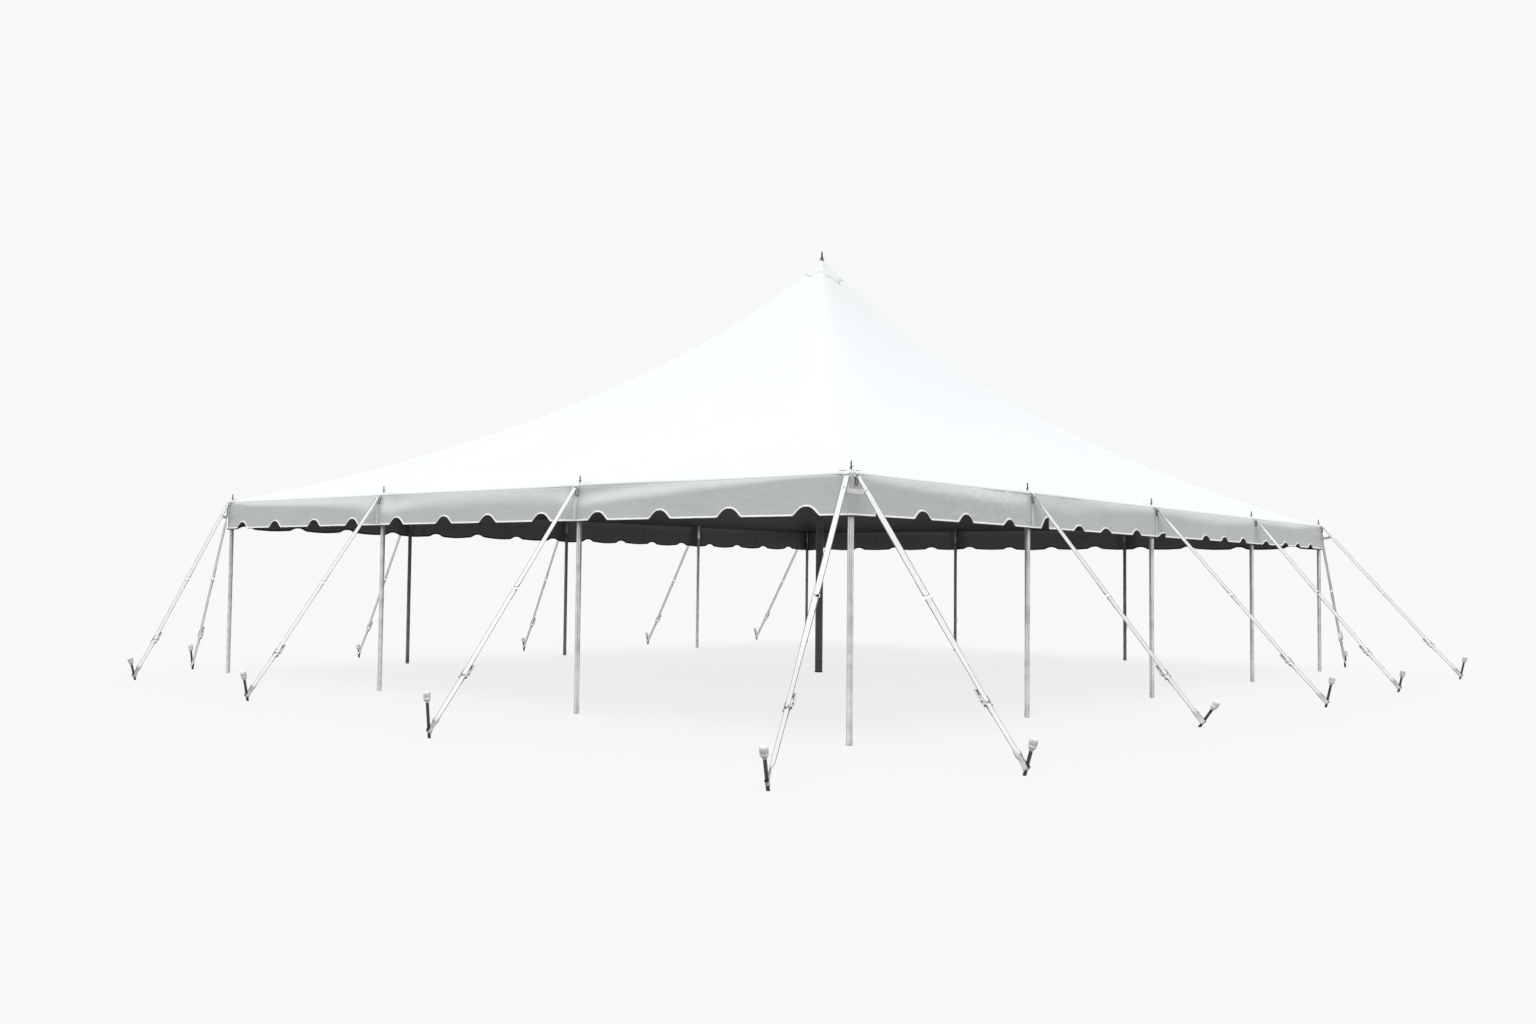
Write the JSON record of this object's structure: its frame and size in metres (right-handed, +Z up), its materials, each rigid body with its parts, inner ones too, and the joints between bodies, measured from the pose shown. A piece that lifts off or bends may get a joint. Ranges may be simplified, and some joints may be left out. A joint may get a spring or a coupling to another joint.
{
  "type": "marquee tent",
  "caption": "White marquee tent: a concave canopy on a centre pole and side poles, a scalloped valance, and taut webbing guys with ratchets to leaning ground stakes.",
  "frame": {"origin": "on the ground at the foot of the centre pole", "axes": "+X along the four-bay side, +Y along the three-bay side towards the back, +Z up"},
  "size_m": [15.9536, 12.4841, 5.72],
  "materials": {
    "canopy_vinyl": "coated white tent vinyl, satin, smooth and taut",
    "valance_vinyl": "coated white tent vinyl with a white bound hem",
    "centre_pole_metal": "dark grey, worn",
    "side_pole_metal": "plain drawn tube, dull",
    "guy_webbing": "white flat polyester webbing with zinc-plated ratchets",
    "stake_steel": "dark forged bar with a white plastic safety cap"
  },
  "bodies": {
    "root": {"canopy_roof": "canopy_vinyl", "valance_front": "valance_vinyl", "valance_back": "valance_vinyl", "valance_left": "valance_vinyl", "valance_right": "valance_vinyl", "centre_pole": "centre_pole_metal", "pole_front_1": "side_pole_metal", "pole_front_2": "side_pole_metal", "pole_front_3": "side_pole_metal", "pole_front_4": "side_pole_metal", "pole_front_5": "side_pole_metal", "pole_back_1": "side_pole_metal", "pole_back_2": "side_pole_metal", "pole_back_3": "side_pole_metal", "pole_back_4": "side_pole_metal", "pole_back_5": "side_pole_metal", "pole_left_1": "side_pole_metal", "pole_left_2": "side_pole_metal", "pole_right_1": "side_pole_metal", "pole_right_2": "side_pole_metal", "guy_front_1": "guy_webbing", "guy_front_2": "guy_webbing", "guy_front_3": "guy_webbing", "guy_front_4": "guy_webbing", "guy_front_5": "guy_webbing", "guy_back_1": "guy_webbing", "guy_back_2": "guy_webbing", "guy_back_3": "guy_webbing", "guy_back_4": "guy_webbing", "guy_back_5": "guy_webbing", "guy_left_1": "guy_webbing", "guy_left_2": "guy_webbing", "guy_left_3": "guy_webbing", "guy_left_4": "guy_webbing", "guy_right_1": "guy_webbing", "guy_right_2": "guy_webbing", "guy_right_3": "guy_webbing", "guy_right_4": "guy_webbing", "stake_front_1": "stake_steel", "stake_front_2": "stake_steel", "stake_front_3": "stake_steel", "stake_front_4": "stake_steel", "stake_front_5": "stake_steel", "stake_back_1": "stake_steel", "stake_back_2": "stake_steel", "stake_back_3": "stake_steel", "stake_back_4": "stake_steel", "stake_back_5": "stake_steel", "stake_left_1": "stake_steel", "stake_left_2": "stake_steel", "stake_left_3": "stake_steel", "stake_left_4": "stake_steel", "stake_right_1": "stake_steel", "stake_right_2": "stake_steel", "stake_right_3": "stake_steel", "stake_right_4": "stake_steel"}
  },
  "joints": []
}
